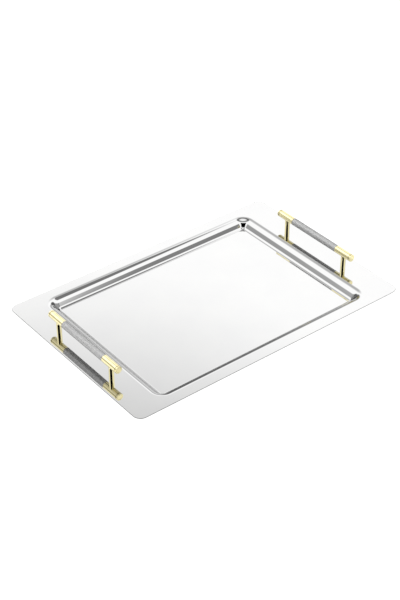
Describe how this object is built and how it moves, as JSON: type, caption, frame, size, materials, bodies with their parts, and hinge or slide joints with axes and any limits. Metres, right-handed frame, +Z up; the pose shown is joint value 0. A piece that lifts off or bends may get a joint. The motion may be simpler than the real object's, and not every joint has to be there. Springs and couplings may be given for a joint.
{
  "type": "serving tray with bar handles",
  "caption": "Rectangular polished steel serving tray with a wide flat rim, a shallow recessed well and two raised bar handles with brass ends, brass posts and knurled steel grips.",
  "frame": {"origin": "on the surface that the tray stands on, under the middle of the well's floor", "axes": "+X along the long side, +Y along the short side, +Z up out of the well; the handles' bars lie along Y"},
  "size_m": [0.6, 0.4, 0.0535],
  "materials": {
    "polished_steel": "mirror polished",
    "polished_brass": "mirror polished",
    "knurled_steel": "fine knurl, satin",
    "screw_steel": "satin",
    "hidden_steel": "turned"
  },
  "bodies": {
    "root": {"tray_body": "polished_steel", "left_grip": "knurled_steel", "left_core_rod": "hidden_steel", "left_front_end_sleeve": "polished_brass", "left_rear_end_sleeve": "polished_brass", "left_front_end_cap": "polished_brass", "left_rear_end_cap": "polished_brass", "left_front_post": "polished_brass", "left_rear_post": "polished_brass", "left_front_post_stud": "hidden_steel", "left_rear_post_stud": "hidden_steel", "left_front_rim_screw": "screw_steel", "left_rear_rim_screw": "screw_steel", "left_front_washer": "screw_steel", "left_rear_washer": "screw_steel", "right_grip": "knurled_steel", "right_core_rod": "hidden_steel", "right_front_end_sleeve": "polished_brass", "right_rear_end_sleeve": "polished_brass", "right_front_end_cap": "polished_brass", "right_rear_end_cap": "polished_brass", "right_front_post": "polished_brass", "right_rear_post": "polished_brass", "right_front_post_stud": "hidden_steel", "right_rear_post_stud": "hidden_steel", "right_front_rim_screw": "screw_steel", "right_rear_rim_screw": "screw_steel", "right_front_washer": "screw_steel", "right_rear_washer": "screw_steel"}
  },
  "joints": []
}
